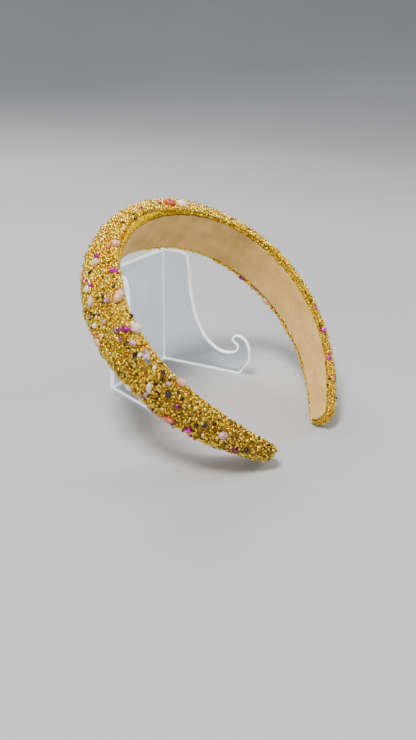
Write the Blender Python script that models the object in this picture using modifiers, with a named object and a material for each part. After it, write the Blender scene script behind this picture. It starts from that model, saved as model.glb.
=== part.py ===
"""A padded headband crusted with crushed crystal, laid over a small clear plastic easel.

The headband is a soft pad covered in cloth. A crust of crushed crystal covers its outer side,
larger cut stones sit on the crust, and a smooth lining follows its inner side. Its back edge
rests on the top of a one-piece easel, and its ends come down in front of the easel's hooks.

Lengths are in metres and angles in degrees. +Z is up, and the headband opens towards -Y.
"""
import math

import bmesh
import bpy
import numpy as np
from mathutils import Euler, Matrix, Vector

OBJECT_NAME = "crystal_headband"

# Headband, measured along the line that the lining follows
HALF_ARC = 0.1907
BAND_TILT = 37.8
BAND_ROLL = 1.95
CROWN = (0.0009, 0.0493, 0.0927)

# Layers of the headband, from the head outwards. Depths are measured from the line.
LINING_WALL = 0.0010
LINING_FACE = -0.0005
PIECE_GAP = 0.0003
CRUST_WALL = 0.0013
PAD_FACE = LINING_FACE + LINING_WALL + PIECE_GAP
LAYERS = PAD_FACE + PIECE_GAP + CRUST_WALL

# Each row is a section of the band, from the crown (0) to either end (1). bend is the angle
# in radians that half a band would turn through if it all curved as it does there. The lining
# reaches further towards the band's lower edge than to its upper one, by lining_reach.
SECTION_COLUMNS = ("station", "bend", "lining_half_width", "lining_reach", "margin", "thickness")
SECTIONS = (
    (0.0, 2.98, 0.0126, 0.0030, 0.0049, 0.0158),
    (0.2, 3.02, 0.0131, 0.0008, 0.0026, 0.0147),
    (0.4, 3.01, 0.0123, 0.0011, 0.0034, 0.0115),
    (0.6, 2.60, 0.0106, 0.0012, 0.0037, 0.0084),
    (0.8, 1.56, 0.0090, 0.0000, 0.0019, 0.0103),
    (1.0, 0.22, 0.0056, 0.0000, 0.0018, 0.0087),
)

# Soft ends turn about their own length: the left one and the right one, upper edge outwards
END_TURNS = (27.0, 7.0)
END_TURN_START = 0.143

# The pad's section is a half ellipse with fuller shoulders: 1 is a plain ellipse.
SHOULDER_POWER = 0.85
SIDE_LAYERS = PIECE_GAP + CRUST_WALL
PAD_TIP = HALF_ARC - SIDE_LAYERS
TIP_WIDTH_RUN = 0.0085
TIP_HEIGHT_RUN = 0.0070
TIP_LAYER_RUN = 0.0030
TIP_WIDTH_POWER = 2.8
TIP_HEIGHT_POWER = 2.5
LINING_TIP = PAD_TIP - 2 * PIECE_GAP
LINING_EDGE = 0.0003

# Crust of crushed crystal
CRUST_LIP = 0.0007
FACET_RISE = 0.00035
FACET_WANDER = 0.28
FACET_SEED = 11
SEAT_MARGIN = 0.0022

# How finely the band is divided
ARM_SECTIONS = 74
TIP_SECTIONS = 5
CRUST_SPANS = 14
PAD_SPANS = 10
LINE_SAMPLES = 2401

# Cut stones. The widths and heights of their facets are shares of the whole stone.
STONE_SIDES = 8
STONE_HEIGHT = 0.0017
SHOULDER_HEIGHT = 0.62
SHOULDER_WIDTH = 0.84
TABLE_WIDTH = 0.56
STONE_WEAR = 0.07
STONE_SEED = 5
SEAT_PROBE = 0.0002

# Easel: a back plate with a wing at each side, and a hook at the front of each wing
EASEL_HEIGHT = 0.0758
EASEL_WALL = 0.0028
EASEL_BACK = 0.0514
EASEL_PLACE = (-0.0046, 0.0591, 0.0)
EASEL_TURN = 8.6
WING_FLARE = 11.6
WING_CURVE_STEPS = 4
EDGE_ROUNDING = 0.0005

# Outline of a wing, from the foot of the back plate round to the foot of the hook
WING_COLUMNS = ("forward", "height", "handles")
WING_OUTLINE = (
    (0.0000, 0.0000, "VECTOR"),
    (0.0000, EASEL_HEIGHT, "VECTOR"),
    (0.0124, EASEL_HEIGHT, "VECTOR"),
    (0.0157, 0.0744, "AUTO"),
    (0.0173, 0.0702, "AUTO"),
    (0.0192, 0.0515, "AUTO"),
    (0.0257, 0.0290, "AUTO"),
    (0.0345, 0.0175, "AUTO"),
    (0.0450, 0.0140, "AUTO"),
    (0.0516, 0.0178, "AUTO"),
    (0.0477, 0.0237, "AUTO"),
    (0.0530, 0.0266, "AUTO"),
    (0.0603, 0.0140, "AUTO"),
    (0.0540, 0.0000, "VECTOR"),
)

# Colours of the finishes: red, green, blue, roughness, metallic, alpha
FINISHES = {
    "cover_cloth": (0.55, 0.36, 0.02, 0.75, 0.0, 1.0),
    "lining_suede": (0.52, 0.36, 0.20, 0.85, 0.0, 1.0),
    "gold_crystal": (0.62, 0.36, 0.05, 0.25, 0.5, 1.0),
    "clear_plastic": (0.85, 0.90, 0.93, 0.08, 0.0, 0.35),
    "pink_crystal": (0.80, 0.42, 0.38, 0.15, 0.0, 1.0),
    "coral_crystal": (0.75, 0.10, 0.08, 0.15, 0.0, 1.0),
    "magenta_crystal": (0.65, 0.02, 0.36, 0.15, 0.3, 1.0),
    "plum_crystal": (0.22, 0.02, 0.10, 0.15, 0.2, 1.0),
    "black_crystal": (0.02, 0.015, 0.015, 0.12, 0.0, 1.0),
    "pearl_crystal": (0.86, 0.80, 0.74, 0.20, 0.0, 1.0),
}

# Each row is a cut stone: how far it is along the band from the crown, the angle round the
# band from its upper edge, its length and width, and its turn on its seat.
STONE_COLUMNS = ("colour", "along", "round", "length", "width", "turn")
STONES = (
    ("black", -0.1728, 64, 0.0032, 0.0025, -60),
    ("plum", -0.1682, 84, 0.0050, 0.0035, -10),
    ("pink", -0.1582, 58, 0.0048, 0.0034, 50),
    ("magenta", -0.1448, 99, 0.0034, 0.0030, 55),
    ("coral", -0.1352, 110, 0.0054, 0.0032, 20),
    ("plum", -0.1342, 66, 0.0031, 0.0031, 45),
    ("pink", -0.1312, 140, 0.0046, 0.0036, 75),
    ("pink", -0.1287, 4, 0.0044, 0.0040, -10),
    ("black", -0.1277, 60, 0.0042, 0.0034, 45),
    ("pink", -0.1250, 36, 0.0024, 0.0023, 45),
    ("magenta", -0.1204, 104, 0.0058, 0.0025, 75),
    ("pink", -0.1198, 82, 0.0059, 0.0028, -60),
    ("pink", -0.1128, 128, 0.0040, 0.0028, 10),
    ("pink", -0.1098, 31, 0.0070, 0.0033, -30),
    ("black", -0.1055, 54, 0.0040, 0.0018, -60),
    ("pink", -0.1012, 39, 0.0039, 0.0028, 40),
    ("pink", -0.0961, 5, 0.0052, 0.0044, -90),
    ("magenta", -0.0944, 34, 0.0043, 0.0024, 55),
    ("plum", -0.0923, 54, 0.0039, 0.0029, 70),
    ("pink", -0.0890, 112, 0.0046, 0.0032, 0),
    ("pink", -0.0788, 44, 0.0031, 0.0026, -20),
    ("pink", -0.0780, 12, 0.0078, 0.0038, -35),
    ("pink", -0.0736, 84, 0.0056, 0.0028, -40),
    ("pearl", -0.0666, 86, 0.0046, 0.0030, 55),
    ("magenta", -0.0639, 12, 0.0043, 0.0026, 85),
    ("pearl", -0.0571, 56, 0.0040, 0.0028, -40),
    ("magenta", -0.0539, 54, 0.0026, 0.0026, -65),
    ("coral", -0.0499, 27, 0.0025, 0.0025, -85),
    ("pink", -0.0461, 13, 0.0043, 0.0037, -40),
    ("black", -0.0220, 104, 0.0036, 0.0028, 20),
    ("coral", 0.0053, 16, 0.0060, 0.0048, -5),
    ("pearl", 0.0136, 13, 0.0055, 0.0034, -5),
    ("coral", 0.0410, 84, 0.0048, 0.0036, 35),
    ("magenta", 0.0725, 179, 0.0044, 0.0026, 0),
    ("pink", 0.0880, 96, 0.0056, 0.0034, -40),
    ("pink", 0.0940, 179, 0.0054, 0.0030, 10),
    ("magenta", 0.1240, 70, 0.0038, 0.0026, 60),
    ("magenta", 0.1350, 4, 0.0036, 0.0024, -80),
    ("magenta", 0.1535, 5, 0.0032, 0.0028, -75),
    ("pearl", 0.1600, 112, 0.0040, 0.0028, -30),
)


def empty_scene():
    """Remove every object that the scene starts with."""
    for thing in list(bpy.data.objects):
        bpy.data.objects.remove(thing, do_unlink=True)


def new_collection(name):
    group = bpy.data.collections.new(name)
    bpy.context.scene.collection.children.link(group)
    return group


def finish(name):
    """A Principled material from its row in FINISHES."""
    red, green, blue, roughness, metallic, alpha = FINISHES[name]
    material = bpy.data.materials.new(name)
    material.use_nodes = True
    shader = material.node_tree.nodes["Principled BSDF"]
    shader.inputs["Base Color"].default_value = (red, green, blue, 1.0)
    shader.inputs["Roughness"].default_value = roughness
    shader.inputs["Metallic"].default_value = metallic
    shader.inputs["Alpha"].default_value = alpha
    material.diffuse_color = (red, green, blue, alpha)
    return material


def column(name, along):
    """A column of SECTIONS at distances along the band, joined by smooth cubics."""
    table = np.array(SECTIONS)
    knots = table[:, 0]
    values = table[:, SECTION_COLUMNS.index(name)]
    step = knots[1] - knots[0]
    slopes = np.gradient(values, step)
    slopes[0] = 0.0
    place = np.clip(np.abs(along) / HALF_ARC, 0.0, 1.0)
    row = np.minimum((place / step).astype(int), len(knots) - 2)
    t = (place - knots[row]) / step
    return (
        (1 + 2 * t) * (1 - t) ** 2 * values[row]
        + t * (1 - t) ** 2 * step * slopes[row]
        + t * t * (3 - 2 * t) * values[row + 1]
        + t * t * (t - 1) * step * slopes[row + 1]
    )


def running_total(values, step):
    """The integral of values, which is 0 in the middle of the list."""
    total = np.concatenate([[0.0], np.cumsum((values[1:] + values[:-1]) / 2 * step)])
    return total - total[len(total) // 2]


LINE_ALONG = np.linspace(-HALF_ARC, HALF_ARC, LINE_SAMPLES)
LINE_STEP = LINE_ALONG[1] - LINE_ALONG[0]
LINE_HEADING = running_total(column("bend", LINE_ALONG) / HALF_ARC, LINE_STEP)
LINE_X = running_total(np.cos(LINE_HEADING), LINE_STEP)
LINE_Y = running_total(-np.sin(LINE_HEADING), LINE_STEP)


def band_line(along):
    """Points of the inner line and its outward direction. X runs along the crown, Y out of it."""
    heading = np.interp(along, LINE_ALONG, LINE_HEADING)
    point = np.stack([np.interp(along, LINE_ALONG, LINE_X), np.interp(along, LINE_ALONG, LINE_Y)])
    outward = np.stack([np.sin(heading), np.cos(heading)])
    return point, outward


def taper(along, tip, run, power):
    """1 along the band, falling to 0 at the tip on a rounded curve that takes up the run."""
    late = np.clip((np.abs(along) - (tip - run)) / run, 0.0, 1.0)
    return (1.0 - late ** power) ** (1.0 / power)


def end_turn(along):
    """How far the section is turned, in radians: 0 along the band, and most at each end."""
    late = np.clip((np.abs(along) - END_TURN_START) / (HALF_ARC - END_TURN_START), 0.0, 1.0)
    return np.radians(np.where(along < 0, *END_TURNS)) * late ** 2


def on_band(along, depth, side):
    """Points at a depth outwards from the inner line and a distance to its side."""
    point, outward = band_line(along)
    turn = end_turn(along)
    out = depth * np.cos(turn) + side * np.sin(turn)
    aside = side * np.cos(turn) - depth * np.sin(turn)
    return np.stack([point[0] + outward[0] * out, point[1] + outward[1] * out, aside], axis=-1)


def pad_surface(along, angle, grow, drop=0.0):
    """Points of the pad's outer side, grown outwards and dropped towards the head.

    The angle goes over the pad from its upper edge, 0, to its lower edge, pi.
    """
    along, angle, grow, drop = np.broadcast_arrays(along, angle, grow, drop)
    tip = PAD_TIP + grow
    layer = grow * taper(along, tip, TIP_LAYER_RUN, 2.0)
    half_width = column("lining_half_width", along) + column("margin", along) - SIDE_LAYERS
    half_width = half_width * taper(along, tip, TIP_WIDTH_RUN + grow, TIP_WIDTH_POWER) + layer
    height = column("thickness", along) - LAYERS
    height = height * taper(along, tip, TIP_HEIGHT_RUN + grow, TIP_HEIGHT_POWER) + layer
    rise = np.abs(np.sin(angle)) ** SHOULDER_POWER
    reach = np.sign(np.cos(angle)) * np.abs(np.cos(angle)) ** SHOULDER_POWER
    return on_band(along, PAD_FACE - drop + height * rise, half_width * reach)


def band_stations(tip):
    """Distances along the band for its sections: even along the arms, closer at the tips."""
    shoulder = tip - TIP_WIDTH_RUN
    arms = np.linspace(-shoulder, shoulder, ARM_SECTIONS + 1)
    quarter = np.linspace(0.0, math.pi / 2, TIP_SECTIONS + 1)[1:]
    tips = shoulder + TIP_WIDTH_RUN * np.sin(quarter)
    return np.concatenate([-tips[::-1], arms, tips])


def loft(name, rings, parent, group, material):
    """A closed body through rings of equal count, whose first and last rings close to a line."""
    count = rings.shape[1]
    mesh = bpy.data.meshes.new(name)
    work = bmesh.new()
    rows = [[work.verts.new(point) for point in ring] for ring in rings]
    for row, following in zip(rows[:-1], rows[1:]):
        for i in range(count):
            j = (i + 1) % count
            work.faces.new((row[i], row[j], following[j], following[i]))
    bmesh.ops.remove_doubles(work, verts=work.verts, dist=1e-6)
    bmesh.ops.dissolve_degenerate(work, edges=work.edges, dist=1e-7)
    bmesh.ops.triangulate(work, faces=work.faces, quad_method="SHORT_EDGE")
    bmesh.ops.recalc_face_normals(work, faces=work.faces)
    work.to_mesh(mesh)
    work.free()
    return add_object(name, mesh, parent, group, material)


def add_object(name, mesh, parent, group, material):
    thing = bpy.data.objects.new(name, mesh)
    group.objects.link(thing)
    thing.parent = parent
    if material:
        mesh.materials.clear()
        mesh.materials.append(material)
    return thing


def make_pad(parent, group, material):
    """The padded band in its cover cloth: flat towards the head and rounded outside."""
    along = band_stations(PAD_TIP)[:, None]
    angle = np.linspace(0.0, math.pi, PAD_SPANS + 1)[None, :]
    return loft("padded_band", pad_surface(along, angle, 0.0), parent, group, material)


def make_crust(parent, group, material, seats):
    """The crust of crushed crystal: a faceted wall over the pad's outer side.

    Each outer point is moved a little at random along, round and out of the wall,
    except where a cut stone has its seat. A lip at each rim comes down past the pad's face.
    """
    rng = np.random.default_rng(FACET_SEED)
    outer_angle = np.linspace(0.0, math.pi, CRUST_SPANS + 1)[None, :]
    inner_angle = np.linspace(math.pi, 0.0, PAD_SPANS + 1)[None, :]
    inner_along = band_stations(PAD_TIP + PIECE_GAP)[:, None]
    outer_along = band_stations(PAD_TIP + SIDE_LAYERS)[:, None]
    inner = pad_surface(inner_along, inner_angle, PIECE_GAP)

    shape = (len(outer_along), CRUST_SPANS + 1)
    pitch = np.gradient(outer_along[:, 0])[:, None]
    shift_along = rng.uniform(-FACET_WANDER, FACET_WANDER, shape) * pitch
    shift_round = rng.uniform(-FACET_WANDER, FACET_WANDER, shape) * math.pi / CRUST_SPANS
    rise = rng.uniform(-FACET_RISE, FACET_RISE, shape)
    rims = [0, -1]
    shift_round[:, rims] = 0.0
    rise[:, rims] = -abs(rise[:, rims])
    lip = np.zeros(shape)
    lip[:, rims] = CRUST_LIP * taper(outer_along, PAD_TIP + SIDE_LAYERS, TIP_WIDTH_RUN, TIP_WIDTH_POWER)
    for still in (shift_along, shift_round, rise):
        still[:TIP_SECTIONS] = 0.0
        still[-TIP_SECTIONS:] = 0.0

    resting = pad_surface(outer_along, outer_angle, SIDE_LAYERS)
    for seat, reach in seats:
        distance = np.linalg.norm(resting - np.array(seat), axis=-1)
        rise[distance < reach + SEAT_MARGIN] = 0.0
    outer = pad_surface(
        outer_along + shift_along, outer_angle + shift_round, SIDE_LAYERS + rise, lip
    )
    return loft("crystal_crust", np.concatenate([outer, inner], axis=1), parent, group, material)


def make_lining(parent, group, material):
    """The lining: a smooth strip with soft edges and round ends, on the side of the head."""
    along = band_stations(LINING_TIP)
    narrowing = taper(along, LINING_TIP, TIP_WIDTH_RUN, TIP_WIDTH_POWER)
    upper = column("lining_half_width", along) * narrowing
    lower = upper + column("lining_reach", along) * narrowing
    upper_inset = np.maximum(upper - LINING_EDGE, 0.0)
    lower_inset = np.maximum(lower - LINING_EDGE, 0.0)
    face = LINING_FACE
    back = LINING_FACE + LINING_WALL
    corners = (
        (upper_inset, back),
        (upper, back - LINING_EDGE),
        (upper, face + LINING_EDGE),
        (upper_inset, face),
        (-lower_inset, face),
        (-lower, face + LINING_EDGE),
        (-lower, back - LINING_EDGE),
        (-lower_inset, back),
    )
    rings = np.stack([on_band(along, depth, side) for side, depth in corners], axis=1)
    return loft("inner_lining", rings, parent, group, material)


def seat_matrix(along, angle, turn):
    """Where a stone sits: its origin on the crust, X along the band and Z straight out."""
    lift = SIDE_LAYERS + PIECE_GAP
    centre, ahead, beside = (
        Vector(pad_surface(along + ds, angle + da, lift).tolist())
        for ds, da in ((0.0, 0.0), (SEAT_PROBE, 0.0), (0.0, SEAT_PROBE))
    )
    forward = (ahead - centre).normalized()
    out = forward.cross(beside - centre).normalized()
    frame = Matrix((forward, out.cross(forward), out)).transposed().to_4x4()
    return Matrix.Translation(centre) @ frame @ Matrix.Rotation(turn, 4, "Z")


def make_stone(name, length, width, place, parent, group, material, rng):
    """A cut stone: eight side facets, eight crown facets and a flat table on top."""
    work = bmesh.new()
    bmesh.ops.create_cone(
        work, cap_ends=True, segments=STONE_SIDES,
        radius1=0.5, radius2=0.5 * SHOULDER_WIDTH, depth=SHOULDER_HEIGHT,
    )
    bmesh.ops.translate(work, verts=work.verts, vec=(0.0, 0.0, SHOULDER_HEIGHT / 2))
    top = max(work.faces, key=lambda face: face.calc_center_median().z)
    bmesh.ops.inset_region(
        work, faces=[top], thickness=(SHOULDER_WIDTH - TABLE_WIDTH) / 2, depth=1.0 - SHOULDER_HEIGHT
    )
    for corner in work.verts:
        wear = 1.0 + rng.uniform(-STONE_WEAR, STONE_WEAR)
        corner.co.x *= length * wear
        corner.co.y *= width * wear
        corner.co.z *= STONE_HEIGHT
    bmesh.ops.triangulate(work, faces=work.faces)
    bmesh.ops.recalc_face_normals(work, faces=work.faces)
    mesh = bpy.data.meshes.new(name)
    work.to_mesh(mesh)
    work.free()
    stone = add_object(name, mesh, parent, group, material)
    stone.matrix_local = place
    return stone


def make_stones(parent, group, materials):
    """Every cut stone in STONES, and its seat on the crust with the reach it needs."""
    rng = np.random.default_rng(STONE_SEED)
    seats = []
    for number, row in enumerate(STONES, start=1):
        stone = dict(zip(STONE_COLUMNS, row))
        length, width = stone["length"], stone["width"]
        place = seat_matrix(stone["along"], math.radians(stone["round"]), math.radians(stone["turn"]))
        name = "{}_stone_{:02d}".format(stone["colour"], number)
        material = materials[stone["colour"] + "_crystal"]
        make_stone(name, length, width, place, parent, group, material, rng)
        seats.append((place.translation, max(length, width) / 2))
    return seats


def wing_blank(name, side, parent, group):
    """One wing of the easel, cut from a flat sheet and given its thickness."""
    outline = bpy.data.curves.new(name, "CURVE")
    outline.dimensions = "2D"
    outline.fill_mode = "BOTH"
    outline.extrude = EASEL_WALL / 2
    outline.resolution_u = WING_CURVE_STEPS
    path = outline.splines.new("BEZIER")
    path.bezier_points.add(len(WING_OUTLINE) - 1)
    path.use_cyclic_u = True
    for point, row in zip(path.bezier_points, WING_OUTLINE):
        corner = dict(zip(WING_COLUMNS, row))
        point.co = (corner["forward"], corner["height"], 0.0)
        point.handle_left_type = point.handle_right_type = corner["handles"]
    sheet = bpy.data.objects.new(name + "_outline", outline)
    group.objects.link(sheet)
    sheet.parent = parent
    sheet.location = (side * EASEL_BACK / 2, 0.0, 0.0)
    sheet.rotation_euler = Euler((math.radians(90), 0.0, math.radians(side * WING_FLARE - 90)))
    bpy.context.view_layer.update()
    solid = bpy.data.meshes.new_from_object(sheet.evaluated_get(bpy.context.evaluated_depsgraph_get()))
    work = bmesh.new()
    work.from_mesh(solid)
    bmesh.ops.remove_doubles(work, verts=work.verts, dist=1e-6)
    bmesh.ops.recalc_face_normals(work, faces=work.faces)
    work.to_mesh(solid)
    work.free()
    wing = bpy.data.objects.new(name, solid)
    group.objects.link(wing)
    wing.matrix_world = sheet.matrix_world
    wing.hide_render = True
    wing.display_type = "WIRE"
    bpy.data.objects.remove(sheet, do_unlink=True)
    return wing


def make_easel(parent, group, cutters, material):
    """The easel: the back plate with both wings joined to it and its edges softened."""
    mesh = bpy.data.meshes.new("display_easel")
    work = bmesh.new()
    bmesh.ops.create_cube(work, size=1.0)
    for corner in work.verts:
        corner.co.x *= EASEL_BACK + EASEL_WALL
        corner.co.y *= EASEL_WALL
        corner.co.z = (corner.co.z + 0.5) * EASEL_HEIGHT
    work.to_mesh(mesh)
    work.free()
    easel = add_object("display_easel", mesh, parent, group, material)
    for name, side in (("left_wing", -1), ("right_wing", 1)):
        joint = easel.modifiers.new(name, "BOOLEAN")
        joint.operation = "UNION"
        joint.solver = "EXACT"
        joint.object = wing_blank(name, side, parent, cutters)
    edges = easel.modifiers.new("edges", "BEVEL")
    edges.width = EDGE_ROUNDING
    edges.segments = 1
    edges.limit_method = "ANGLE"
    edges.angle_limit = math.radians(40)
    return easel


def new_empty(name, place, rotation, group):
    """An empty that carries the pieces of one sub-assembly."""
    holder = bpy.data.objects.new(name, None)
    group.objects.link(holder)
    holder.location = place
    holder.rotation_euler = Euler([math.radians(angle) for angle in rotation])
    return holder


def main():
    empty_scene()
    group = new_collection(OBJECT_NAME)
    cutters = new_collection("cutters")
    materials = {name: finish(name) for name in FINISHES}

    band = new_empty("headband", CROWN, (BAND_TILT, BAND_ROLL, 0.0), group)
    make_pad(band, group, materials["cover_cloth"])
    make_lining(band, group, materials["lining_suede"])
    seats = make_stones(band, group, materials)
    make_crust(band, group, materials["gold_crystal"], seats)

    stand = new_empty("easel", EASEL_PLACE, (0.0, 0.0, EASEL_TURN), group)
    make_easel(stand, group, cutters, materials["clear_plastic"])
    bpy.context.view_layer.update()


main()
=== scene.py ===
# %% [markdown]
# # A padded headband crusted with crystal, on a small easel
#
# The headband is a soft pad in mustard cloth. Its outer side is covered with crushed gold
# crystal and with larger cut stones, and a strip of tan suede lines the side of the head. It
# leans over the top of a small clear easel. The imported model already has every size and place,
# so this lesson is about surfaces: each piece is a grid of points worked out with numpy, laid
# over its solid in the model, and then given a finish.

# %% Load the model
import math

import bmesh
import bpy
import numpy as np
from mathutils import Matrix


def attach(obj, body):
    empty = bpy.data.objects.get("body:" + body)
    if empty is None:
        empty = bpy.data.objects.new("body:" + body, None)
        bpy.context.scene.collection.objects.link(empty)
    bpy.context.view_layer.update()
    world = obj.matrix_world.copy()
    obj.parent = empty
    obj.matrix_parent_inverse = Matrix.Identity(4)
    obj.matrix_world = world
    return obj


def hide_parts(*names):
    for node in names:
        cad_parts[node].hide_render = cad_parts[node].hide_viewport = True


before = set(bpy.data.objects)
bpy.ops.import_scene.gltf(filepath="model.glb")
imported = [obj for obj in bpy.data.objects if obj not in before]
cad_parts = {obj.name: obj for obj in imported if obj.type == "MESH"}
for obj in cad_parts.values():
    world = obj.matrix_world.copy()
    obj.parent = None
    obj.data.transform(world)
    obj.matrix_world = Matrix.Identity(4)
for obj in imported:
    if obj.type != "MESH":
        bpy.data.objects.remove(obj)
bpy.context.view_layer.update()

# %% [markdown]
# ## The camera
#
# The photo was taken from above and to the left, with the lens of a phone. The camera's place,
# its turn, its tilt and a small roll are plain numbers here, and the long side of the picture
# stands for a 36 mm film. Two small helpers come first, because every later step uses them.

# %% Camera
CAMERA_PLACE = (-0.2512, -0.2181, 0.1935)
CAMERA_TURN = -48.41
CAMERA_TILT = 27.37
CAMERA_ROLL = 1.48
CAMERA_LENS = 31.46
CAMERA_CLIP = 0.01


def add_object(name, data):
    """A new object with this data, linked into the scene at the origin."""
    added = bpy.data.objects.new(name, data)
    bpy.context.scene.collection.objects.link(added)
    return added


def rotation(degrees, axis):
    return Matrix.Rotation(math.radians(degrees), 4, axis)


lens = bpy.data.cameras.new("camera")
lens.lens = CAMERA_LENS
lens.clip_start = CAMERA_CLIP
camera = add_object("camera", lens)
camera.matrix_world = (
    Matrix.Translation(CAMERA_PLACE)
    @ rotation(CAMERA_TURN, "Z")
    @ rotation(90 - CAMERA_TILT, "X")
    @ rotation(CAMERA_ROLL, "Z")
)
bpy.context.scene.camera = camera
print("camera at", CAMERA_PLACE)

# %% [markdown]
# ## The line of the band
#
# A headband is measured along the line that lies on the head. This one bends most at the crown
# and least near its ends, so the line is found by adding up its heading, and then adding up the
# steps that it takes. The same short table holds how wide and thick the band is at six places,
# and smooth cubics join them. The band is soft, so each end also turns a little about its own
# length.

# %% Sizes of the band
HALF_ARC = 0.1907
BAND_TILT = 37.8
BAND_ROLL = 1.95
CROWN = (0.0009, 0.0493, 0.0927)
SECTION_COLUMNS = ("station", "bend", "lining_half_width", "lining_reach", "margin", "thickness")
SECTIONS = np.array([
    (0.0, 2.98, 0.0126, 0.0030, 0.0049, 0.0158),
    (0.2, 3.02, 0.0131, 0.0008, 0.0026, 0.0147),
    (0.4, 3.01, 0.0123, 0.0011, 0.0034, 0.0115),
    (0.6, 2.60, 0.0106, 0.0012, 0.0037, 0.0084),
    (0.8, 1.56, 0.0090, 0.0000, 0.0019, 0.0103),
    (1.0, 0.22, 0.0056, 0.0000, 0.0018, 0.0087),
])
END_TURNS = (27.0, 7.0)
END_TURN_START = 0.143
LINING_WALL = 0.0010
LINING_FACE = -0.0005
PIECE_GAP = 0.0003
CRUST_WALL = 0.0013
PAD_FACE = LINING_FACE + LINING_WALL + PIECE_GAP
LAYERS = PAD_FACE + PIECE_GAP + CRUST_WALL
SIDE_LAYERS = PIECE_GAP + CRUST_WALL
PAD_TIP = HALF_ARC - SIDE_LAYERS
SHOULDER_POWER = 0.85
TIP_WIDTH_RUN, TIP_WIDTH_POWER = 0.0085, 2.8
TIP_HEIGHT_RUN, TIP_HEIGHT_POWER = 0.0070, 2.5
TIP_LAYER_RUN, TIP_LAYER_POWER = 0.0030, 2.0
LINE_POINTS = 2401
print("the band is", 2 * HALF_ARC, "m long, with", len(SECTIONS), "measured places on each side")


# %% The line and its bend
def size(name, along):
    """A size of the band at distances from the crown: cubics through the table's rows.

    Each cubic starts and ends with the slope of the line between the rows on both sides.
    """
    knots, values = SECTIONS[:, 0], SECTIONS[:, SECTION_COLUMNS.index(name)]
    step = knots[1] - knots[0]
    slopes = np.gradient(values, step)
    slopes[0] = 0.0
    place = np.clip(np.abs(along) / HALF_ARC, 0.0, 1.0)
    row = np.minimum((place / step).astype(int), len(knots) - 2)
    t = (place - knots[row]) / step
    return (
        (1 + 2 * t) * (1 - t) ** 2 * values[row]
        + t * (1 - t) ** 2 * step * slopes[row]
        + t * t * (3 - 2 * t) * values[row + 1]
        + t * t * (t - 1) * step * slopes[row + 1]
    )


def adding_up(values, step):
    """The running area under a line of values, counted from its middle."""
    total = np.concatenate([[0.0], np.cumsum((values[1:] + values[:-1]) / 2 * step)])
    return total - total[len(total) // 2]


line_along = np.linspace(-HALF_ARC, HALF_ARC, LINE_POINTS)
line_step = line_along[1] - line_along[0]
line_heading = adding_up(size("bend", line_along) / HALF_ARC, line_step)
line_x = adding_up(np.cos(line_heading), line_step)
line_y = adding_up(-np.sin(line_heading), line_step)
to_world = np.array((rotation(BAND_ROLL, "Y") @ rotation(BAND_TILT, "X")).to_3x3())
print("the line turns by", np.degrees(line_heading[-1]).round(), "degrees on each side")


# %% Points on the band
def end_turn(along):
    """How far the section is turned at a soft end, in radians: the end's turn * late squared."""
    late = np.clip((np.abs(along) - END_TURN_START) / (HALF_ARC - END_TURN_START), 0.0, 1.0)
    return np.radians(np.where(along < 0, *END_TURNS)) * late ** 2


def on_band(along, depth, side):
    """A point at a depth outwards from the line and a distance to its side, set in the room.

    Depth and side are first turned about the line, and the point is then line(along) + depth *
    outward(along) + side * side axis, tilted and moved.
    """
    along, depth, side = np.broadcast_arrays(along, depth, side)
    heading = np.interp(along, line_along, line_heading)
    turn = end_turn(along)
    out = depth * np.cos(turn) + side * np.sin(turn)
    aside = side * np.cos(turn) - depth * np.sin(turn)
    x = np.interp(along, line_along, line_x) + out * np.sin(heading)
    y = np.interp(along, line_along, line_y) + out * np.cos(heading)
    return np.stack([x, y, aside], axis=-1) @ to_world.T + np.array(CROWN)


print("end of the line:", on_band(HALF_ARC, 0.0, 0.0).round(4))

# %% [markdown]
# The layers follow the same outline. The pad is half an ellipse with fuller shoulders, and each
# layer over it is the pad grown by the layer's depth. Both ends round off by one rule, so that
# pad, bed and chips stop one after the other.

# %% Outlines of the layers
def rounded_end(along, tip, run, power):
    """1 along the band and 0 at its tip: (1 - late ** power) ** (1 / power)."""
    late = np.clip((np.abs(along) - (tip - run)) / run, 0.0, 1.0)
    return (1.0 - late ** power) ** (1.0 / power)


def pad_half_width(along, grow=0.0):
    """Half of the pad's width where it lies flat on the lining, with a layer grown on it."""
    tip = PAD_TIP + grow
    half = size("lining_half_width", along) + size("margin", along) - SIDE_LAYERS
    half = half * rounded_end(along, tip, TIP_WIDTH_RUN + grow, TIP_WIDTH_POWER)
    return half + grow * rounded_end(along, tip, TIP_LAYER_RUN, TIP_LAYER_POWER)


def dome(along, angle, grow):
    """The outer side of the pad, grown by a layer: half an ellipse with fuller shoulders.

    Round the band, depth is the height times sin(angle) and side is the half width times
    cos(angle), both to the power 0.85. The angle runs from the upper edge, 0, to the lower, pi.
    """
    along, angle, grow = np.broadcast_arrays(along, angle, grow)
    tip = PAD_TIP + grow
    height = (size("thickness", along) - LAYERS) * rounded_end(
        along, tip, TIP_HEIGHT_RUN + grow, TIP_HEIGHT_POWER
    )
    height = height + grow * rounded_end(along, tip, TIP_LAYER_RUN, TIP_LAYER_POWER)
    rise = np.abs(np.sin(angle)) ** SHOULDER_POWER
    reach = np.sign(np.cos(angle)) * np.abs(np.cos(angle)) ** SHOULDER_POWER
    return on_band(along, PAD_FACE + height * rise, pad_half_width(along, grow) * reach)


def lining_edge(along, edge, tip=PAD_TIP):
    """How far the lining reaches from the line: to its upper edge (1) or its lower one (-1)."""
    reach = size("lining_half_width", along) + np.where(edge > 0, 0.0, size("lining_reach", along))
    return reach * rounded_end(along, tip, TIP_WIDTH_RUN, TIP_WIDTH_POWER)


print("the pad's top at the crown:", dome(0.0, math.pi / 2, 0.0).round(4))

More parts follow.
